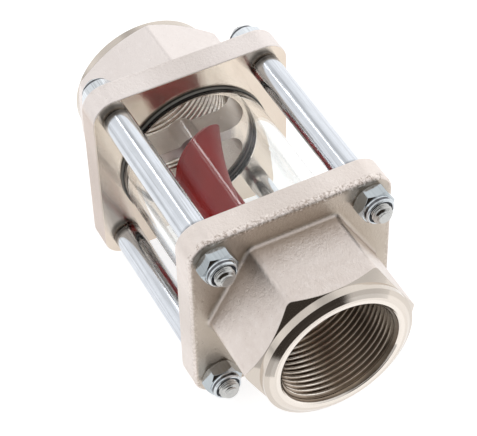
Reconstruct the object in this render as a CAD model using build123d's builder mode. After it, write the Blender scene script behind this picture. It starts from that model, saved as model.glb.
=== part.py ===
from build123d import *
import math
import os

# Impeller flow indicator: a glass tube clamped between two threaded end fittings,
# with a free-running two-blade rotor on a fixed axle along the pipe axis.
# Frame: pipe axis along X, Z up, origin on the pipe axis midway between the sockets.
# All sizes are in millimetres.

# Flanges
face_gap = 68.5
flange_side = 81.7
flange_thick = 11.3
flange_edge_round = 1.3
machined_edge_chamfer = 0.4
bolt_spacing = 62.6
stud_hole_clearance = 0.3

# Hexagon collar and turned nose of each fitting
hex_across_flats = 60.2
hex_length = 31.1
hex_root_round = 1.6
hex_ridge_round = 3.0
hex_end_slope = 32.0
turned_radius = 30.05
turned_length = 3.2
nose_chamfer_length = 1.65
end_face_radius = 27.1

# Pipe socket and its thread relief
thread_radius = 23.9
thread_length = 32.0
mouth_chamfer = 0.6
relief_radius = 25.0

# Spider that carries the axle in each fitting
web_recess = 0.75
web_depth = 11.8
bar_thick = 5.0
spider_hub_radius = 5.5
window_radius = 25.0
window_round = 6.5
hub_root_round = 1.4

# Glass tube and its end seals
glass_radius = 31.2
glass_wall = 3.8
glass_edge = 0.4
seal_radius = 31.7
seal_width = 4.6
seal_proud = 1.3
seal_depth = 1.5
seal_edge_chamfer = 0.4

# Tie rods and lock nuts
rod_radius = 5.7
rod_end_chamfer = 0.8
stud_radius = 4.0
stud_tip_chamfer = 0.9
stud_proud = 3.0
nut_across_flats = 13.0
nut_height = 8.0
nut_chamfer_slope = 30.0
nut_hex_height = 5.7
nut_collar_radius = 5.9
nut_collar_chamfer = 0.7
nut_lip_thick = 0.4
insert_radius = 5.1
insert_lip_radius = 4.8
insert_height = 1.6

# Axle and rotor
axle_radius = 1.5
axle_seat = 7.0
running_clearance = 0.05
end_play = 0.4
rotor_hub_radius = 4.1
rotor_nose_chamfer = 1.0
blade_radius = 25.0
blade_end_gap = 3.0
blade_end_round = 20.9
blade_root_thick = 2.4
blade_tip_thick = 1.5
blade_root_angle = 79.0
blade_twist = 2.09
blade_sweep = 3.65
blade_stations = 13

# How far cutters and hidden roots run past the surfaces they meet
overrun = 1.0

inner_face = face_gap / 2
flange_back = inner_face + flange_thick
shoulder_x = flange_back + hex_length
nose_x = shoulder_x + turned_length
end_x = nose_x + nose_chamfer_length
web_front = inner_face + web_recess
web_back = web_front + web_depth
hex_corner_radius = hex_across_flats / math.sqrt(3)
flange_corner = (flange_side - bolt_spacing) / 2
seal_inner = seal_radius - seal_width
glass_end = inner_face - seal_proud
rotor_half = web_front - end_play
blade_half = rotor_half - blade_end_gap

os.makedirs("parts", exist_ok=True)


def across_pipe(x):
    # Plane square to the pipe axis: local x is the object's Y, local y is its Z.
    return Plane(origin=(x, 0, 0), x_dir=(0, 1, 0), z_dir=(1, 0, 0))


def save(piece, label):
    piece.part.label = label
    export_step(piece.part, "parts/" + label + ".step")


# Outlet fitting: square flange, hexagon collar, turned nose, socket and spider in one casting
with BuildPart() as outlet_body:
    with BuildSketch(across_pipe(inner_face)):
        RectangleRounded(flange_side, flange_side, flange_corner)
    extrude(amount=flange_thick)
    flange_faces = outlet_body.faces().filter_by(Axis.X).sort_by(Axis.X)
    chamfer(flange_faces[0].edges(), machined_edge_chamfer)
    fillet(outlet_body.faces().filter_by(Axis.X).sort_by(Axis.X)[-1].edges(), flange_edge_round)

    with BuildSketch(across_pipe(flange_back - flange_thick / 2)):
        RegularPolygon(hex_across_flats / 2, 6, major_radius=False)
    extrude(amount=hex_length + flange_thick / 2)
    ridges = (
        outlet_body.edges()
        .filter_by(Axis.X)
        .filter_by_position(Axis.X, flange_back, shoulder_x)
    )
    fillet(ridges, hex_ridge_round)
    roots = [
        edge
        for edge in outlet_body.edges().filter_by(lambda edge: abs(edge.center().X - flange_back) < 0.01)
        if math.hypot(edge.center().Y, edge.center().Z) < hex_corner_radius
    ]
    fillet(roots, hex_root_round)

    # The hexagon's end is turned to a cone, so each flat ends in an arc
    cone_top = hex_corner_radius + overrun
    cone_run = (cone_top - turned_radius) * math.tan(math.radians(hex_end_slope))
    with BuildSketch(Plane.XY):
        with BuildLine():
            Polyline(
                (shoulder_x, turned_radius),
                (shoulder_x - cone_run, cone_top),
                (shoulder_x + overrun, cone_top),
                (shoulder_x + overrun, turned_radius),
                close=True,
            )
        make_face()
    revolve(axis=Axis.X, mode=Mode.SUBTRACT)

    with BuildSketch(Plane.XY):
        with BuildLine():
            Polyline(
                (shoulder_x - overrun, 0),
                (shoulder_x - overrun, turned_radius),
                (nose_x, turned_radius),
                (end_x, end_face_radius),
                (end_x, 0),
                close=True,
            )
        make_face()
    revolve(axis=Axis.X)

    # Socket bored at the thread's full radius, then its relief up to the spider
    with BuildSketch(Plane.XY):
        with BuildLine():
            Polyline(
                (web_back, 0),
                (web_back, relief_radius),
                (end_x - thread_length, relief_radius),
                (end_x - thread_length, thread_radius),
                (end_x - mouth_chamfer, thread_radius),
                (end_x, thread_radius + mouth_chamfer),
                (end_x + overrun, thread_radius + mouth_chamfer),
                (end_x + overrun, 0),
                close=True,
            )
        make_face()
    revolve(axis=Axis.X, mode=Mode.SUBTRACT)

    # The spider's face lies a little below the clamping face, out to the glass seal
    with BuildSketch(across_pipe(inner_face)):
        Circle(seal_inner)
    extrude(amount=web_recess, mode=Mode.SUBTRACT)

    # Kidney windows on both sides of the cross bar leave the hub held at its two ends
    bar_half = bar_thick / 2
    outer_corner = math.sqrt(window_radius**2 - bar_half**2)
    hub_corner = math.sqrt(spider_hub_radius**2 - bar_half**2)
    upright = Plane(origin=(web_front, 0, 0), x_dir=(0, 0, 1), z_dir=(1, 0, 0))
    with BuildSketch(upright) as windows:
        with BuildLine():
            Line((hub_corner, bar_half), (outer_corner, bar_half))
            ThreePointArc((outer_corner, bar_half), (0, window_radius), (-outer_corner, bar_half))
            Line((-outer_corner, bar_half), (-hub_corner, bar_half))
            ThreePointArc((-hub_corner, bar_half), (0, spider_hub_radius), (hub_corner, bar_half))
        make_face()
        fillet(windows.vertices().group_by(SortBy.DISTANCE)[-1], window_round)
        fillet(windows.vertices().group_by(SortBy.DISTANCE)[0], hub_root_round)
        mirror(about=Plane.XZ)
    extrude(amount=web_depth, mode=Mode.SUBTRACT)

    # Seat for the glass seal and the four stud holes
    with BuildSketch(across_pipe(inner_face)):
        Circle(seal_radius)
        Circle(seal_inner, mode=Mode.SUBTRACT)
    extrude(amount=seal_depth, mode=Mode.SUBTRACT)
    with BuildSketch(across_pipe(inner_face)):
        with GridLocations(bolt_spacing, bolt_spacing, 2, 2):
            Circle(stud_radius + stud_hole_clearance)
    extrude(amount=flange_thick, mode=Mode.SUBTRACT)

    # Blind seat of the axle in the spider hub
    with BuildSketch(across_pipe(web_front)):
        Circle(axle_radius)
    extrude(amount=axle_seat, mode=Mode.SUBTRACT)
save(outlet_body, "outlet_body")

# The inlet fitting is the same casting, turned end for end and a quarter turn about the pipe
with BuildPart() as inlet_body:
    with Locations(Location((0, 0, 0), (90, 0, 0)) * Location((0, 0, 0), (0, 0, 180))):
        add(outlet_body.part)
save(inlet_body, "inlet_body")

# Glass tube with its ends pressed on the seals
with BuildPart() as sight_glass:
    with BuildSketch(across_pipe(-glass_end)):
        Circle(glass_radius)
        Circle(glass_radius - glass_wall, mode=Mode.SUBTRACT)
    extrude(amount=2 * glass_end)
    chamfer(sight_glass.faces().filter_by(Axis.X).edges(), glass_edge)
save(sight_glass, "sight_glass")

with BuildPart() as outlet_seal:
    with BuildSketch(across_pipe(glass_end)):
        Circle(seal_radius)
        Circle(seal_inner, mode=Mode.SUBTRACT)
    extrude(amount=seal_proud + seal_depth)
    chamfer(outlet_seal.faces().sort_by(Axis.X)[0].edges(), seal_edge_chamfer)
save(outlet_seal, "outlet_seal")

with BuildPart() as inlet_seal:
    with Locations(Location((0, 0, 0), (0, 0, 180))):
        add(outlet_seal.part)
save(inlet_seal, "inlet_seal")

# Tie rod: a thick shank that spaces the flanges, with a stud turned on each end
stud_tip = flange_back + nut_height + stud_proud
with BuildPart() as rod_shape:
    with BuildSketch(Plane.XY):
        with BuildLine():
            Polyline(
                (-stud_tip, 0),
                (-stud_tip, stud_radius - stud_tip_chamfer),
                (stud_tip_chamfer - stud_tip, stud_radius),
                (-inner_face, stud_radius),
                (-inner_face, rod_radius - rod_end_chamfer),
                (rod_end_chamfer - inner_face, rod_radius),
                (inner_face - rod_end_chamfer, rod_radius),
                (inner_face, rod_radius - rod_end_chamfer),
                (inner_face, stud_radius),
                (stud_tip - stud_tip_chamfer, stud_radius),
                (stud_tip, stud_radius - stud_tip_chamfer),
                (stud_tip, 0),
                close=True,
            )
        make_face()
    revolve(axis=Axis.X)

# Lock nut standing on its face: chamfered hexagon, round collar and a recess for the insert
with BuildPart() as nut_shape:
    with BuildSketch(Plane.XY):
        RegularPolygon(nut_across_flats / 2, 6, major_radius=False)
    extrude(amount=nut_hex_height)
    flat = nut_across_flats / 2
    outside = nut_across_flats / math.sqrt(3) + overrun
    drop = (outside - flat) * math.tan(math.radians(nut_chamfer_slope))
    with BuildSketch(Plane.XZ):
        with BuildLine():
            Polyline(
                (0, 0),
                (outside, 0),
                (outside, nut_hex_height - drop),
                (flat, nut_hex_height),
                (0, nut_hex_height),
                close=True,
            )
        make_face()
    revolve(axis=Axis.Z, mode=Mode.INTERSECT)
    with BuildSketch(Plane.XY.offset(nut_hex_height)):
        Circle(nut_collar_radius)
    extrude(amount=nut_height - nut_hex_height)
    chamfer(nut_shape.faces().sort_by(Axis.Z)[-1].edges(), nut_collar_chamfer)
    with BuildSketch(Plane.XZ):
        with BuildLine():
            Polyline(
                (0, 0),
                (stud_radius, 0),
                (stud_radius, nut_height - nut_lip_thick - insert_height),
                (insert_radius, nut_height - nut_lip_thick - insert_height),
                (insert_radius, nut_height - nut_lip_thick),
                (insert_lip_radius, nut_height),
                (0, nut_height),
                close=True,
            )
        make_face()
    revolve(axis=Axis.Z, mode=Mode.SUBTRACT)

with BuildPart() as insert_shape:
    with BuildSketch(Plane.XY.offset(nut_height - nut_lip_thick - insert_height)):
        Circle(insert_radius)
        Circle(stud_radius, mode=Mode.SUBTRACT)
    extrude(amount=insert_height)

# Rods and nuts sit at the four corners; each nut stops at its own angle
corners = {
    "top_left": (-1, 1),
    "top_right": (1, 1),
    "bottom_right": (1, -1),
    "bottom_left": (-1, -1),
}
nut_turns = {
    "top_left": (21, 0),
    "top_right": (44, 1),
    "bottom_right": (13, 37),
    "bottom_left": (32, 5),
}
for place, (side_y, side_z) in corners.items():
    rod_y = side_y * bolt_spacing / 2
    rod_z = side_z * bolt_spacing / 2
    with BuildPart() as tie_rod:
        with Locations((0, rod_y, rod_z)):
            add(rod_shape.part)
    save(tie_rod, "tie_rod_" + place)

    for end, turn in zip((-1, 1), nut_turns[place]):
        facing = math.radians(turn)
        seat = Plane(
            origin=(end * flange_back, rod_y, rod_z),
            x_dir=(0, math.cos(facing), math.sin(facing)),
            z_dir=(end, 0, 0),
        )
        end_name = "inlet_" if end < 0 else "outlet_"
        with BuildPart() as lock_nut:
            with Locations(seat.location):
                add(nut_shape.part)
        save(lock_nut, "lock_nut_" + end_name + place)
        with BuildPart() as nut_insert:
            with Locations(seat.location):
                add(insert_shape.part)
        save(nut_insert, "nut_insert_" + end_name + place)

# Axle pressed into both spider hubs
with BuildPart() as axle:
    with BuildSketch(across_pipe(-(web_front + axle_seat))):
        Circle(axle_radius)
    extrude(amount=2 * (web_front + axle_seat))
save(axle, "axle")


def arm_point(radius, offset_angle=0.0):
    # Centre line of a blade arm: its angle grows steadily with the radius.
    angle = math.radians((radius - rotor_hub_radius) * blade_sweep + offset_angle)
    return (radius * math.cos(angle), radius * math.sin(angle))


def arm_side(thickness_sign):
    # Three points on one side of the arm, at its root, middle and tip.
    points = []
    for share in (0.0, 0.5, 1.0):
        inside = rotor_hub_radius * 0.75
        radius = inside + (blade_radius + overrun - inside) * share
        here = arm_point(radius)
        ahead = arm_point(radius + 0.1)
        along = (ahead[0] - here[0], ahead[1] - here[1])
        length = math.hypot(along[0], along[1])
        half = (blade_root_thick + (blade_tip_thick - blade_root_thick) * share) / 2
        step = thickness_sign * half / length
        points.append((here[0] - along[1] * step, here[1] + along[0] * step))
    return points


# Outline the blades are cut to: a barrel with widely rounded ends
with BuildPart() as blade_outline:
    with BuildSketch(Plane.XY):
        flat_half = blade_half - blade_end_round
        root = blade_radius - blade_end_round
        bend = blade_end_round * math.sqrt(0.5)
        with BuildLine():
            Line((-blade_half, 0), (-blade_half, root))
            ThreePointArc((-blade_half, root), (-flat_half - bend, root + bend), (-flat_half, blade_radius))
            Line((-flat_half, blade_radius), (flat_half, blade_radius))
            ThreePointArc((flat_half, blade_radius), (flat_half + bend, root + bend), (blade_half, root))
            Line((blade_half, root), (blade_half, 0))
            Line((blade_half, 0), (-blade_half, 0))
        make_face()
    revolve(axis=Axis.X)

# One cupped blade, lofted through turned sections and cut to the outline
with BuildPart() as blade:
    left = arm_side(1)
    right = arm_side(-1)
    reach = blade_half + overrun
    for station in range(blade_stations):
        x = -reach + 2 * reach * station / (blade_stations - 1)
        turn = math.radians(blade_root_angle + blade_twist * x)
        section = Plane(
            origin=(x, 0, 0),
            x_dir=(0, math.cos(turn), math.sin(turn)),
            z_dir=(1, 0, 0),
        )
        with BuildSketch(section):
            with BuildLine():
                ThreePointArc(*right)
                Line(right[2], left[2])
                ThreePointArc(left[2], left[1], left[0])
                Line(left[0], right[0])
            make_face()
    loft()
    add(blade_outline.part, mode=Mode.INTERSECT)

# Rotor: slim hub with two opposite blades, bored to run freely on the axle
with BuildPart() as rotor:
    with BuildSketch(across_pipe(-rotor_half)):
        Circle(rotor_hub_radius)
    extrude(amount=2 * rotor_half)
    chamfer(rotor.faces().filter_by(Axis.X).edges(), rotor_nose_chamfer)
    with Locations(Location((0, 0, 0), (0, 0, 0)), Location((0, 0, 0), (180, 0, 0))):
        add(blade.part)
    with BuildSketch(across_pipe(-rotor_half)):
        Circle(axle_radius + running_clearance)
    extrude(amount=2 * rotor_half, mode=Mode.SUBTRACT)
save(rotor, "rotor")
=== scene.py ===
import math

import bpy
from mathutils import Matrix, Vector


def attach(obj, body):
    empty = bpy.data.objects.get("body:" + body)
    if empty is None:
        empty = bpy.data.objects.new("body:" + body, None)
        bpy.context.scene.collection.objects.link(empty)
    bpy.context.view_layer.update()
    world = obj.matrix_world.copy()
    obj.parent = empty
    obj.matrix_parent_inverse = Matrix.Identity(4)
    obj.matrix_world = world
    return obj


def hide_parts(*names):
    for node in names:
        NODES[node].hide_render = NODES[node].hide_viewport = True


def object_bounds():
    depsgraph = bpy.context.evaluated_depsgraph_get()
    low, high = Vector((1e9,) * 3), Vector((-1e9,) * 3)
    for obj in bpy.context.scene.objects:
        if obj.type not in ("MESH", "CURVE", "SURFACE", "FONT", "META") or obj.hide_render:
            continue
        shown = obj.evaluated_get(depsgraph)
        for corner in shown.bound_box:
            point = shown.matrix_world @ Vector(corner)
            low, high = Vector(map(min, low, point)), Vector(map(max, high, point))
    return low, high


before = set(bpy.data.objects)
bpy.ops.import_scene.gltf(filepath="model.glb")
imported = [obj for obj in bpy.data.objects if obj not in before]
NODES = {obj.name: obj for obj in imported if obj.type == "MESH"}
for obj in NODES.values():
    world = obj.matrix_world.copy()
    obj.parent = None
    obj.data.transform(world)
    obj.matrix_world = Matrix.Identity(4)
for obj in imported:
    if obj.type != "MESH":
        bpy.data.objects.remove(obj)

start_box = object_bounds()
MM = 0.001

# Sizes shared with the CAD part, in millimetres
FACE_GAP = 68.5
FLANGE_THICK = 11.3
INNER_FACE = FACE_GAP / 2
FLANGE_BACK = INNER_FACE + FLANGE_THICK
END_X = 81.5
BOLT = 62.6
ROD_R = 5.7
STUD_R = 4.0
STUD_PITCH = 1.25
STUD_PROUD = 3.0
NUT_HEIGHT = 8.0
HEX_HEIGHT = 5.7
NUT_FLAT_R = 6.5
THREAD_ROOT = 23.86
THREAD_CREST = 22.45
THREAD_LENGTH = 32.0
THREAD_PITCH = 2.309


# Node helpers
class Tree:
    """Short calls for building one material's node tree."""

    def __init__(self, name):
        self.mat = bpy.data.materials.new(name)
        self.mat.use_nodes = True
        self.t = self.mat.node_tree
        self.t.nodes.clear()
        self.out = self.t.nodes.new("ShaderNodeOutputMaterial")

    def node(self, kind, **props):
        n = self.t.nodes.new("ShaderNode" + kind)
        for key, value in props.items():
            setattr(n, key, value)
        return n

    def link(self, a, b):
        self.t.links.new(a, b)

    def coords(self, scale=(1, 1, 1)):
        c = self.node("TexCoord")
        m = self.node("Mapping")
        m.inputs["Scale"].default_value = scale
        self.link(c.outputs["Object"], m.inputs["Vector"])
        return m.outputs["Vector"]

    def axes(self, vector):
        s = self.node("SeparateXYZ")
        self.link(vector, s.inputs[0])
        return s.outputs["X"], s.outputs["Y"], s.outputs["Z"]

    def noise(self, vector, scale, detail=4.0, rough=0.55):
        n = self.node("TexNoise")
        n.inputs["Scale"].default_value = scale
        n.inputs["Detail"].default_value = detail
        n.inputs["Roughness"].default_value = rough
        self.link(vector, n.inputs["Vector"])
        return n.outputs["Fac"]

    def ramp(self, value, stops):
        r = self.node("ValToRGB")
        e = r.color_ramp.elements
        e[0].position, e[0].color = stops[0][0], colour(stops[0][1])
        e[1].position, e[1].color = stops[-1][0], colour(stops[-1][1])
        for position, shade in stops[1:-1]:
            e.new(position).color = colour(shade)
        self.link(value, r.inputs["Fac"])
        return r.outputs["Color"]

    def math(self, operation, a, b=None):
        m = self.node("Math", operation=operation)
        for i, value in enumerate((a, b)):
            if value is None:
                continue
            if isinstance(value, (int, float)):
                m.inputs[i].default_value = value
            else:
                self.link(value, m.inputs[i])
        return m.outputs[0]

    def times(self, *factors):
        """The product of the factors."""
        product = factors[0]
        for factor in factors[1:]:
            product = self.math("MULTIPLY", product, factor)
        return product

    def span(self, value, low, high, out_low=0.0, out_high=1.0):
        """out_low up to low, out_high from high on, and a straight ramp between them."""
        m = self.node("MapRange", clamp=True)
        m.inputs["From Min"].default_value = low
        m.inputs["From Max"].default_value = high
        m.inputs["To Min"].default_value = out_low
        m.inputs["To Max"].default_value = out_high
        self.link(value, m.inputs["Value"])
        return m.outputs["Result"]

    def mix(self, factor, a, b, blend="MIX"):
        m = self.node("Mix", data_type="RGBA", blend_type=blend)
        for socket, value in ((m.inputs[0], factor), (m.inputs[6], a), (m.inputs[7], b)):
            if socket.type != "RGBA" and isinstance(value, (int, float)):
                socket.default_value = value
            elif isinstance(value, (int, float, tuple)):
                socket.default_value = colour(value)
            else:
                self.link(value, socket)
        return m.outputs[2]

    def bump(self, height, distance, strength):
        b = self.node("Bump")
        b.inputs["Strength"].default_value = strength
        b.inputs["Distance"].default_value = distance
        self.link(height, b.inputs["Height"])
        return b.outputs["Normal"]

    def shader(self, metallic=0.0, roughness=0.5, **extra):
        s = self.node("BsdfPrincipled")
        s.inputs["Metallic"].default_value = metallic
        s.inputs["Roughness"].default_value = roughness
        for key, value in extra.items():
            s.inputs[key.replace("_", " ")].default_value = value
        self.link(s.outputs[0], self.out.inputs["Surface"])
        return s


def colour(value):
    """A grey level or three parts of a colour, as four parts."""
    if isinstance(value, (int, float)):
        return (value, value, value, 1.0)
    return tuple(value)[:3] + (1.0,)


def radius_and_x(t):
    """The distance from the pipe axis, and from the middle along it, both in metres."""
    x, y, z = t.axes(t.node("TexCoord").outputs["Object"])
    radius = t.math("SQRT", t.math("ADD", t.times(y, y), t.times(z, z)))
    return radius, t.math("ABSOLUTE", x)


def square_reach(t):
    """The place along the pipe, and how far a point lies sideways and up or down, in metres."""
    x, y, z = t.axes(t.node("TexCoord").outputs["Object"])
    return x, t.math("ABSOLUTE", y), t.math("ABSOLUTE", z)


# Materials
def nickel_casting():
    """Satin nickel over cast brass, with turned bands on the nose and the inner face."""
    t = Tree("nickel_casting")
    place = t.coords()
    radius, along = radius_and_x(t)
    signed_x, out_y, out_z = square_reach(t)
    grain = t.noise(place, 900.0, 5.0, 0.7)
    broad = t.noise(place, 55.0, 3.0, 0.5)
    mottle = t.noise(place, 330.0, 4.0, 0.6)
    base = t.mix(t.span(broad, 0.35, 0.65), (0.755, 0.672, 0.622), (0.820, 0.742, 0.696))
    base = t.mix(t.span(grain, 0.62, 0.8, 0.0, 0.35), base, (0.90, 0.87, 0.83))
    base = t.mix(t.span(mottle, 0.46, 0.30, 0.0, 0.17), base, (0.56, 0.47, 0.42))
    base = t.mix(t.span(mottle, 0.54, 0.70, 0.0, 0.27), base, (0.97, 0.91, 0.88))

    # Painted light and shade: the inlet fitting and the outlet flange are painted lighter, and the inlet
    # flange's sides darker
    inlet = t.times(t.span(signed_x, 0.01, -0.01, 0.0, 0.65), t.span(out_y, 0.0406, 0.0400))
    base = t.mix(inlet, base, (0.90, 0.84, 0.82))
    side = t.times(t.span(signed_x, 0.01, -0.01, 0.0, 0.75), t.span(out_y, 0.0406, 0.0408))
    base = t.mix(side, base, (0.62, 0.51, 0.45))
    flange = t.times(t.span(signed_x, 0.0340, 0.0345, 0.0, 0.35), t.span(signed_x, 0.0455, 0.0453))
    base = t.mix(flange, base, (0.98, 0.90, 0.85))

    # Painted shade on the flange's outer face: browner, and darkest in the root round the hexagon
    root = t.times(t.span(along, 0.0500, 0.0455), t.span(radius, 0.0450, 0.0345), 0.6)
    base = t.mix(root, base, (0.40, 0.335, 0.285))
    outer_face = t.times(t.span(along, 0.0460, 0.0457), t.span(along, 0.0454, 0.04545), 0.5)
    base = t.mix(outer_face, base, (0.50, 0.43, 0.33))

    # Rough band along the flange's outer edge: bumps, with bright flecks painted as glints and dark flecks
    # painted as shade, strongest at the upper and lower edges and at the outlet
    coarse = t.noise(place, 950.0, 3.0, 0.7)
    edge = t.times(
        t.span(along, 0.0424, 0.0438),
        t.span(along, 0.0458, 0.0456),
        t.span(t.math("MAXIMUM", out_y, out_z), 0.0384, 0.0392),
        t.span(out_z, 0.030, 0.038, 0.35, 1.0),
        t.span(signed_x, -0.01, 0.01, 0.2, 1.0),
    )
    base = t.mix(t.times(edge, t.span(coarse, 0.54, 0.62, 0.0, 0.9)), base, (1.0, 0.92, 0.87))
    base = t.mix(t.times(edge, t.span(coarse, 0.49, 0.42, 0.0, 0.7)), base, (0.36, 0.28, 0.23))

    # The turned nose, and the hexagon's end, where the same cut leaves a cone. Painted light and shade: the
    # nose is painted lighter within 28.4 mm of the axis, and darker further out, on its side and the cone
    past = t.times(t.math("MAXIMUM", t.math("SUBTRACT", radius, 0.03005), 0.0), 0.625)
    nose = t.span(t.math("ADD", along, past), 0.07648, 0.07656)
    band = t.span(radius, 0.0282, 0.0286)
    base = t.mix(nose, base, t.mix(band, (0.79, 0.72, 0.65), (0.66, 0.595, 0.53)))

    # The turned inner face of the flange, the ring round the spider, and the cast web within it, which is
    # painted lighter as light in that recess
    face = t.times(t.span(along, 0.03440, 0.03432), t.span(along, 0.0330, 0.0332))
    ring = t.times(
        t.span(along, 0.03516, 0.03508),
        t.span(radius, 0.0282, 0.0280),
        t.span(radius, 0.0170, 0.0205),
    )
    face = t.math("MAXIMUM", face, ring)
    base = t.mix(face, base, t.mix(broad, (0.76, 0.65, 0.54), (0.86, 0.76, 0.66)))
    web = t.times(t.span(along, 0.03512, 0.03520), t.span(radius, 0.0262, 0.0258), 0.7)
    base = t.mix(web, base, (0.93, 0.86, 0.79))

    # Faint tool marks where it is turned, and cast grain everywhere else
    turned = t.math("MAXIMUM", nose, face)
    marks = t.node("TexWave", wave_type="RINGS", rings_direction="X")
    t.link(place, marks.inputs["Vector"])
    marks.inputs["Scale"].default_value = 900.0
    marks.inputs["Distortion"].default_value = 0.6
    cast = t.times(t.math("SUBTRACT", 1.0, turned), t.math("ADD", grain, t.times(mottle, 0.55)))
    cast = t.math("ADD", cast, t.times(edge, coarse, 1.2))
    height = t.math("ADD", cast, t.times(turned, marks.outputs["Fac"], 0.05))
    s = t.shader(metallic=0.96)
    t.link(base, s.inputs["Base Color"])
    t.link(t.mix(turned, t.span(grain, 0.3, 0.75, 0.26, 0.40), 0.09), s.inputs["Roughness"])
    t.link(t.bump(height, 0.00028, 0.7), s.inputs["Normal"])
    return t.mat


def nickel_thread():
    """Plated thread: crests painted light as highlight and roots painted dark as shade, with painted shade
    and a duller finish round half the outlet, and painted light on the inlet.
    """
    t = Tree("nickel_thread")
    place = t.coords()
    radius, _ = radius_and_x(t)
    x, y, _ = t.axes(place)
    sideways = t.math("DIVIDE", y, radius)
    # Painted shade with a duller finish over one half of the outlet thread, painted darkest on the flanks
    # toward +Y
    dull_finish_and_painted_shade = t.times(t.span(sideways, -0.26, 0.04), t.span(x, -0.01, 0.01))
    right = t.span(sideways, 0.3, 0.85)
    # Crests painted light as highlight, and flanks and roots painted darker as shade
    base = t.mix(t.span(radius, 0.02262, 0.02284), (1.0, 0.93, 0.85), (0.36, 0.29, 0.23))
    crest = t.mix(right, (0.62, 0.51, 0.41), (0.66, 0.57, 0.48))
    flank = t.mix(right, (0.44, 0.34, 0.25), (0.14, 0.11, 0.08))
    base = t.mix(dull_finish_and_painted_shade, base, t.mix(t.span(radius, 0.02254, 0.02268), crest, flank))
    # Roots painted a little lighter in the middle of the shaded half, as painted light
    middle = t.times(dull_finish_and_painted_shade, t.math("SUBTRACT", 1.0, right))
    root = t.mix(middle, (0.15, 0.11, 0.078), (0.27, 0.21, 0.155))
    base = t.mix(t.span(radius, 0.0231, 0.0236), base, root)
    # The inlet thread painted lighter, as painted light
    inlet = t.mix(t.span(radius, 0.02285, 0.0234), (1.0, 0.95, 0.89), (0.45, 0.375, 0.315))
    base = t.mix(t.span(x, 0.01, -0.01, 0.0, 0.85), base, inlet)
    fleck = t.noise(place, 700.0, 4.0, 0.6)
    base = t.mix(t.span(fleck, 0.5, 0.75, 0.0, 0.4), base, (0.24, 0.19, 0.145))
    s = t.shader()
    t.link(base, s.inputs["Base Color"])
    t.link(t.span(dull_finish_and_painted_shade, 0.0, 1.0, 0.96, 0.62), s.inputs["Metallic"])
    t.link(t.span(dull_finish_and_painted_shade, 0.0, 1.0, 0.12, 0.18), s.inputs["Roughness"])
    t.link(t.bump(fleck, 0.00005, 0.4), s.inputs["Normal"])
    return t.mat


def zinc(name, shade, rough, past, past_shade, far_shade):
    """Bright zinc plating, drawn and a little milky, with painted light and shade: its other tones further
    out and at the inlet are lit and shaded copies of the same zinc.
    """
    t = Tree(name)
    streak = t.noise(t.coords((0.12, 6, 6)), 240.0, 4.0, 0.65)
    patch = t.noise(t.coords(), 110.0, 3.0, 0.55)
    _, along = radius_and_x(t)
    signed_x, _, _ = square_reach(t)
    # Painted light and shade: studs and collars past the flanges, and all parts at the inlet, get their own
    # tones
    base = t.mix(t.span(along, past, past + 0.0001), shade, past_shade)
    base = t.mix(t.span(signed_x, -0.0454, -0.0456), base, far_shade)

    # Painted dark reflections on the rod ends at the flanges, and in a band on the upper side of each nut's
    # collar
    rod_end = t.times(t.span(along, 0.0302, 0.0322), t.span(along, 0.0344, 0.0342), 0.88)
    base = t.mix(rod_end, base, (0.06, 0.058, 0.055))
    _, normal_y, normal_z = t.axes(t.node("NewGeometry").outputs["Normal"])
    upper = t.math("SUBTRACT", t.times(normal_z, 0.87), t.times(normal_y, 0.5))
    # The collar's dark band is a painted reflection, not a cut
    dip = t.times(
        t.span(along, 0.0517, 0.0519),
        t.span(along, 0.0529, 0.0527),
        t.span(upper, 0.15, 0.5, 0.0, 0.9),
    )
    base = t.mix(dip, base, (0.05, 0.05, 0.06))
    base = t.mix(t.span(patch, 0.35, 0.7, 0.10, 0.0), base, (0.1, 0.1, 0.1))
    base = t.mix(t.span(streak, 0.50, 0.30, 0.0, 0.42), base, (0.30, 0.31, 0.33))
    s = t.shader(metallic=1.0)
    t.link(base, s.inputs["Base Color"])
    t.link(t.span(streak, 0.3, 0.7, rough * 0.8, rough * 1.35), s.inputs["Roughness"])
    t.link(t.bump(streak, 0.00006, 0.5), s.inputs["Normal"])
    return t.mat


def clear_glass():
    """Clear glass that lets lamp light through its shadow, with a softened reflection."""
    t = Tree("clear_glass")
    s = t.shader(roughness=0.0, IOR=1.5)
    s.inputs["Specular Tint"].default_value = (0.5, 0.5, 0.5, 1.0)
    s.inputs["Transmission Weight"].default_value = 1.0
    s.inputs["Base Color"].default_value = (0.985, 0.995, 0.99, 1.0)
    clear = t.node("BsdfTransparent")
    clear.inputs["Color"].default_value = (0.93, 0.95, 0.94, 1.0)
    path = t.node("LightPath")
    both = t.node("MixShader")
    t.link(path.outputs["Is Shadow Ray"], both.inputs[0])
    t.link(s.outputs[0], both.inputs[1])
    t.link(clear.outputs[0], both.inputs[2])
    t.link(both.outputs[0], t.out.inputs["Surface"])
    return t.mat


def rubber():
    """Black rubber, dusty, with grey painted highlights on its outer corner and in its bore."""
    t = Tree("seal_black_rubber")
    place = t.coords()
    grain = t.noise(place, 1400.0, 4.0, 0.6)
    dust = t.noise(place, 160.0, 4.0, 0.6)
    base = t.mix(t.span(dust, 0.5, 0.8, 0.0, 0.5), (0.004, 0.004, 0.004), (0.030, 0.030, 0.027))
    radius, along = radius_and_x(t)
    # Painted highlights: the outer corner and the bore are painted grey
    corner = t.times(t.span(radius, 0.0311, 0.0314), t.span(along, 0.0339, 0.0336))
    bore = t.times(
        t.span(radius, 0.0277, 0.0274),
        t.span(along, 0.0333, 0.0336),
        t.span(along, 0.0345, 0.0342),
    )
    base = t.mix(t.math("MAXIMUM", corner, bore), base, (0.17, 0.165, 0.15))
    s = t.shader(roughness=0.30, Specular_IOR_Level=0.2)
    t.link(base, s.inputs["Base Color"])
    t.link(t.bump(grain, 0.00003, 0.3), s.inputs["Normal"])
    return t.mat


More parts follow.
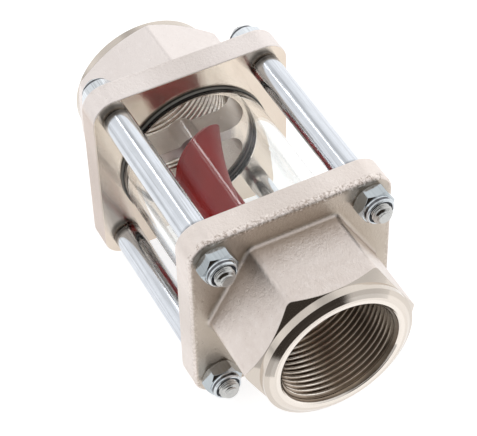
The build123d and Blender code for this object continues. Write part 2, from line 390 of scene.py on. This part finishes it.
def red_plastic():
    """Moulded red plastic: faint flow marks, and painted shade that darkens it toward the blade tips."""
    t = Tree("rotor_red_plastic")
    place = t.coords()
    radius, _ = radius_and_x(t)
    flow = t.noise(place, 70.0, 3.0, 0.5)
    grain = t.noise(place, 1500.0, 3.0, 0.6)
    base = t.mix(t.span(flow, 0.35, 0.7), (0.315, 0.007, 0.005), (0.360, 0.010, 0.007))
    # Painted shade: darker toward the blade tips
    base = t.mix(t.span(radius, 0.019, 0.025, 0.0, 0.35), base, (0.15, 0.007, 0.006))
    s = t.shader(Specular_IOR_Level=0.18)
    s.inputs["Subsurface Weight"].default_value = 0.05
    s.inputs["Subsurface Radius"].default_value = (0.002, 0.0006, 0.0004)
    t.link(base, s.inputs["Base Color"])
    t.link(t.span(grain, 0.3, 0.7, 0.34, 0.5), s.inputs["Roughness"])
    t.link(t.bump(grain, 0.00003, 0.35), s.inputs["Normal"])
    return t.mat


def ground_steel():
    """Ground steel, with fine marks along the axle."""
    t = Tree("axle_ground_steel")
    marks = t.noise(t.coords((0.1, 8, 8)), 900.0, 3.0, 0.6)
    s = t.shader(metallic=1.0)
    t.link(t.mix(t.span(marks, 0.3, 0.7), (0.5, 0.5, 0.51), (0.62, 0.62, 0.63)), s.inputs["Base Color"])
    t.link(t.span(marks, 0.3, 0.7, 0.2, 0.34), s.inputs["Roughness"])
    return t.mat


def nylon():
    """Dark blue-grey nylon with a fine grain."""
    t = Tree("insert_nylon")
    grain = t.noise(t.coords(), 1200.0, 3.0, 0.6)
    s = t.shader(roughness=0.5)
    t.link(t.mix(t.span(grain, 0.3, 0.7), (0.02, 0.028, 0.045), (0.04, 0.05, 0.07)), s.inputs["Base Color"])
    t.link(t.bump(grain, 0.00003, 0.3), s.inputs["Normal"])
    return t.mat


MAT = {
    "nickel": nickel_casting(),
    "thread": nickel_thread(),
    # The first tone is the zinc's own, and the last two are painted light and shade past the flanges and at
    # the inlet
    "rod": zinc("zinc_rod", (0.765, 0.80, 0.855), 0.13, 0.0455, (0.60, 0.60, 0.585), (0.6, 0.6, 0.6)),
    "nut": zinc("zinc_nut", (0.54, 0.59, 0.62), 0.06, 0.0512, (0.72, 0.765, 0.80), (0.82, 0.86, 0.90)),
    "glass": clear_glass(),
    "rubber": rubber(),
    "red": red_plastic(),
    "steel": ground_steel(),
    "nylon": nylon(),
}


def dress(node, material):
    """Gives a CAD node's object one better material."""
    data = NODES[node].data
    data.materials.clear()
    data.materials.append(material)


PLACES = ["top_left", "top_right", "bottom_right", "bottom_left"]
SIDES = {"top_left": (-1, 1), "top_right": (1, 1), "bottom_right": (1, -1), "bottom_left": (-1, -1)}

for end in ("inlet", "outlet"):
    dress(end + "_body", MAT["nickel"])
    dress(end + "_seal", MAT["rubber"])
    for place in PLACES:
        dress("nut_insert_" + end + "_" + place, MAT["nylon"])
dress("sight_glass", MAT["glass"])
dress("rotor", MAT["red"])
dress("axle", MAT["steel"])


# Pieces
def new_mesh(name, points, faces, material):
    """A smooth piece on the housing, from points in millimetres."""
    data = bpy.data.meshes.new(name)
    data.from_pydata([(x * MM, y * MM, z * MM) for x, y, z in points], [], faces)
    data.update()
    piece = bpy.data.objects.new(name, data)
    bpy.context.scene.collection.objects.link(piece)
    data.materials.append(material)
    data.polygons.foreach_set("use_smooth", [True] * len(data.polygons))
    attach(piece, "housing")
    return piece


def ring_faces(rows, across):
    """Four-sided faces between rings of points, each ring with the same number of points."""
    faces = []
    for j in range(rows - 1):
        for i in range(across):
            a = j * across + i
            b = j * across + (i + 1) % across
            faces.append((a, a + across, b + across, b))
    return faces


def thread_wave(share):
    """A rounded 55 degree thread form: 0 at the root, 1 at the crest."""
    level = 1.0 - abs(2.0 * (share % 1.0) - 1.0)
    return min(1.0, max(0.0, (level - 0.14) / 0.72))


def socket_thread(side):
    """The turns inside one pipe socket, from the mouth chamfer down to the runout."""
    across = 160
    per_turn = 8
    mouth_depth = 0.66
    mouth_r = 24.48
    mouth_slope = 0.95
    runout_length = 0.8
    first = END_X - mouth_depth
    last = END_X - THREAD_LENGTH + 0.05
    rows = int((first - last) / THREAD_PITCH * per_turn)
    points = []
    for j in range(rows + 1):
        x = first + (last - first) * j / rows
        runout = min(1.0, max(0.0, (x - last) / runout_length))
        for i in range(across):
            angle = 2 * math.pi * i / across
            level = thread_wave(x / THREAD_PITCH + i / across)
            r = THREAD_ROOT - (THREAD_ROOT - THREAD_CREST) * level
            r = max(r, mouth_r - (END_X - x) * mouth_slope)
            r = min(THREAD_ROOT - (THREAD_ROOT - r) * runout, THREAD_ROOT)
            points.append((side * x, side * r * math.cos(angle), r * math.sin(angle)))
    name = "outlet_socket_thread" if side > 0 else "inlet_socket_thread"
    new_mesh(name, points, ring_faces(rows + 1, across), MAT["thread"])


for side in (1, -1):
    socket_thread(side)


def threaded_rod(place):
    """A tie rod with its thread turns on both studs, in place of the plain solid."""
    side_y, side_z = SIDES[place]
    cy, cz = side_y * BOLT / 2, side_z * BOLT / 2
    across = 48
    rows = 30
    depth = 0.62
    tip = FLANGE_BACK + NUT_HEIGHT + STUD_PROUD
    start = tip - 0.5
    stop = FLANGE_BACK + 5.0

    # Each station is a place along the rod, a radius, and whether the thread is cut there
    half = [(tip, 0.0, False), (tip, 1.2, False), (tip, 2.45, False), (tip - 0.06, 2.6, False)]
    for k in range(rows + 1):
        x = start + (stop - start) * k / rows
        half.append((x, min(STUD_R, 3.0 + (start - x) * 1.2), True))
    half += [(FLANGE_BACK + 4.8, STUD_R, False), (INNER_FACE, STUD_R, False)]
    half += [(INNER_FACE, ROD_R - 0.8, False), (INNER_FACE - 0.12, ROD_R - 0.5, False)]
    half += [(INNER_FACE - 0.5, ROD_R - 0.12, False), (INNER_FACE - 0.8, ROD_R, False)]
    half += [(INNER_FACE - 1.4, ROD_R, False), (INNER_FACE / 2, ROD_R, False)]
    other_half = [(-x, r, cut) for x, r, cut in reversed(half)]
    stations = half + [(0.0, ROD_R, False)] + other_half
    points = []
    for x, r, cut in stations:
        for i in range(across):
            angle = 2 * math.pi * i / across
            dip = depth * (1.0 - thread_wave(x / STUD_PITCH + i / across)) if cut else 0.0
            points.append((x, cy + (r - dip) * math.cos(angle), cz + (r - dip) * math.sin(angle)))
    faces = ring_faces(len(stations), across)
    piece = new_mesh("threaded_rod_" + place, points, faces, MAT["rod"])
    piece.data.validate()
    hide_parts("tie_rod_" + place)


for place in PLACES:
    threaded_rod(place)


def lock_nut(end, place, degrees):
    """A lock nut, its hexagon eased on both faces, with a rolled collar, in place of the plain solid."""
    side = 1 if end == "outlet" else -1
    side_y, side_z = SIDES[place]
    across = 144

    # Each station is a height over the flange, a radius, and whether the hexagon's flats trim it
    profile = [(0.1 * k, 6.15 + 0.14 * k, True) for k in range(11)]
    profile += [(HEX_HEIGHT - 0.1 * k, 6.30 + 0.13 * k, True) for k in range(10, -1, -1)]
    profile += [(HEX_HEIGHT, 5.95, False), (6.1, 5.86, False), (6.8, 5.84, False)]
    for a in range(12, 91, 13):
        lift = 1.16 * math.sin(math.radians(a))
        profile.append((6.8 + lift, 4.98 + 0.86 * math.cos(math.radians(a)), False))
    profile += [(7.96, 4.92, False), (7.8, 4.80, False), (7.3, 4.78, False)]
    points = []
    for x, radius, trimmed in profile:
        for i in range(across):
            angle = 2 * math.pi * i / across
            hexagon = NUT_FLAT_R / math.cos(angle % (math.pi / 3) - math.pi / 6)
            r = min(hexagon, radius) if trimmed else radius
            turned = angle + math.radians(degrees)
            y = side_y * BOLT / 2 + r * math.cos(turned)
            z = side_z * BOLT / 2 + r * math.sin(turned)
            points.append((side * (FLANGE_BACK + x), y, z))
    outward = (0, 3, 2, 1) if side > 0 else (1, 2, 3, 0)
    faces = [tuple(face[k] for k in outward) for face in ring_faces(len(profile), across)]
    piece = new_mesh("eased_nut_" + end + "_" + place, points, faces, MAT["nut"])
    piece.data.set_sharp_from_angle(angle=math.radians(14))
    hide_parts("lock_nut_" + end + "_" + place)


# How far each nut is turned round its rod, in degrees, at the inlet and at the outlet
NUT_TURNS = {"top_left": (21, 0), "top_right": (44, 1), "bottom_right": (13, 37), "bottom_left": (32, 5)}
for place in PLACES:
    for end, degrees in zip(("inlet", "outlet"), NUT_TURNS[place]):
        lock_nut(end, place, degrees)


# Stage, light and camera
def stage_floor():
    """A white table. Its front edge ends near the object, as the dark reflections there show."""
    t = Tree("studio_floor")
    s = t.shader(roughness=0.9)
    s.inputs["Base Color"].default_value = (0.5, 0.5, 0.5, 1.0)
    glow = t.node("Emission")
    path = t.node("LightPath")
    seen = t.math("MAXIMUM", path.outputs["Is Camera Ray"], path.outputs["Is Transmission Ray"])
    _, y, _ = t.axes(t.node("TexCoord").outputs["Object"])
    reflected = t.times(t.span(y, -0.30, -0.12, 0.3, 1.0), path.outputs["Is Glossy Ray"])
    t.link(t.math("MAXIMUM", t.times(seen, 0.78), t.times(reflected, 0.70)), glow.inputs["Strength"])
    both = t.node("AddShader")
    t.link(s.outputs[0], both.inputs[0])
    t.link(glow.outputs[0], both.inputs[1])
    t.link(both.outputs[0], t.out.inputs["Surface"])
    corners = 64
    level = start_box[0].z - 0.0002
    rim = []
    for i in range(corners):
        angle = 2 * math.pi * i / corners
        rim_y = 0.12 + 0.6 * math.sin(angle)
        rim_x = min(-0.26 + 0.5 * math.cos(angle), 0.138 + 0.35 * rim_y)
        rim.append((rim_x, rim_y, level))
    data = bpy.data.meshes.new("floor")
    data.from_pydata(rim, [], [tuple(range(corners))])
    data.materials.append(t.mat)
    floor = bpy.data.objects.new("floor", data)
    bpy.context.scene.collection.objects.link(floor)


stage_floor()

# The studio: brightness by the angle round the pipe's direction, and a dark room in front
world = bpy.data.worlds.new("studio")
bpy.context.scene.world = world
world.use_nodes = True


class WorldTree(Tree):
    """The same short calls for the world's node tree."""

    def __init__(self, tree):
        self.t = tree
        self.t.nodes.clear()
        self.out = self.t.nodes.new("ShaderNodeOutputWorld")


# Brightness by the angle in degrees from sideways, round the pipe's direction
LEVELS = [(-180, 0.80), (-160, 0.62), (-140, 0.72), (-120, 0.90), (-60, 0.95), (-5, 1.0), (44, 1.0),
          (56, 0.94), (68, 0.88), (78, 0.68), (90, 0.58), (99, 0.66), (106, 0.80), (114, 0.80), (119, 0.80),
          (130, 0.78), (142, 0.80), (154, 0.88), (166, 0.96), (176, 0.86), (180, 0.80)]
DARK_ROOM = Vector((0.93, -0.12, -0.02))

wt = WorldTree(world.node_tree)
w_coord = wt.node("TexCoord")
_, w_y, w_z = wt.axes(w_coord.outputs["Generated"])
w_turn = wt.span(wt.math("ARCTAN2", w_z, w_y), -math.pi, math.pi)
w_level = wt.ramp(w_turn, [((a + 180) / 360, b) for a, b in LEVELS])
w_front = wt.node("VectorMath", operation="DOT_PRODUCT")
wt.link(w_coord.outputs["Generated"], w_front.inputs[0])
w_front.inputs[1].default_value = DARK_ROOM.normalized()
w_dark = wt.span(w_front.outputs["Value"], 0.83, 0.865)
w_dim = wt.span(w_front.outputs["Value"], 0.35, 0.60, 1.0, 0.68)
w_colour = wt.mix(1.0, w_level, w_dim, "MULTIPLY")
w_colour = wt.mix(w_dark, w_colour, (0.030, 0.024, 0.019))
w_lit = wt.node("Background")
wt.link(w_colour, w_lit.inputs["Color"])
w_lit.inputs["Strength"].default_value = 1.12
w_white = wt.node("Background")
w_white.inputs["Color"].default_value = (1, 1, 1, 1)
w_path = wt.node("LightPath")
w_seen = wt.math("MAXIMUM", w_path.outputs["Is Camera Ray"], w_path.outputs["Is Transmission Ray"])
w_mix = wt.node("MixShader")
wt.link(w_seen, w_mix.inputs[0])
wt.link(w_lit.outputs[0], w_mix.inputs[1])
wt.link(w_white.outputs[0], w_mix.inputs[2])
wt.link(w_mix.outputs[0], wt.out.inputs["Surface"])


def strip_lamp(name, place, width, length, power):
    """A narrow lamp that lies along the pipe's direction and shines at the origin."""
    data = bpy.data.lights.new(name, "AREA")
    data.energy = power
    data.shape = "RECTANGLE"
    data.size = width
    data.size_y = length
    lamp = bpy.data.objects.new(name, data)
    bpy.context.scene.collection.objects.link(lamp)
    lamp.location = place
    aim = -place.normalized()
    along = Vector((1, 0, 0)) - aim * aim.x
    along.normalize()
    side = along.cross(-aim)
    lamp.rotation_mode = "QUATERNION"
    lamp.rotation_quaternion = Matrix((
        (side.x, along.x, -aim.x),
        (side.y, along.y, -aim.y),
        (side.z, along.z, -aim.z),
    )).to_quaternion()


# Two short narrow lamps draw the thin line on the glass and the rods' bright stripe
LAMP_X = -0.277
LAMP_REACH = 0.38
for name, degrees, power in (("strip", 104.4, 0.0275), ("strip_edge", 108.4, 0.0060)):
    angle = math.radians(degrees)
    lamp_place = Vector((LAMP_X, LAMP_REACH * math.cos(angle), LAMP_REACH * math.sin(angle)))
    strip_lamp(name, lamp_place, 0.016, 0.082, power)

# The camera that was fitted to the photograph
AZ = math.radians(63.717)
EL = math.radians(46.985)
ROLL = math.radians(-1.625)
DISTANCE = 0.70878
SHIFT_RIGHT = 0.001269
SHIFT_UP = -0.004065
FOCAL_PIXELS = 1868.73
WIDTH_PIXELS = 477.0
SENSOR = 36.0
back = Vector((math.sin(AZ) * math.cos(EL), -math.cos(AZ) * math.cos(EL), math.sin(EL)))
right = Vector((math.cos(AZ), math.sin(AZ), 0.0))
up = back.cross(right)
right_r = right * math.cos(ROLL) + up * math.sin(ROLL)
up_r = up * math.cos(ROLL) - right * math.sin(ROLL)
cam_data = bpy.data.cameras.new("photo_camera")
cam_data.sensor_fit = "HORIZONTAL"
cam_data.sensor_width = SENSOR
cam_data.lens = FOCAL_PIXELS * SENSOR / WIDTH_PIXELS
cam_data.clip_start = 0.05
cam_data.clip_end = 20.0
camera = bpy.data.objects.new("photo_camera", cam_data)
bpy.context.scene.collection.objects.link(camera)
camera.matrix_world = Matrix((
    (right_r.x, up_r.x, back.x, 0.0),
    (right_r.y, up_r.y, back.y, 0.0),
    (right_r.z, up_r.z, back.z, 0.0),
    (0.0, 0.0, 0.0, 1.0),
))
camera.location = back * DISTANCE + right_r * SHIFT_RIGHT + up_r * SHIFT_UP
bpy.context.scene.camera = camera
bpy.context.scene.view_settings.view_transform = "Standard"
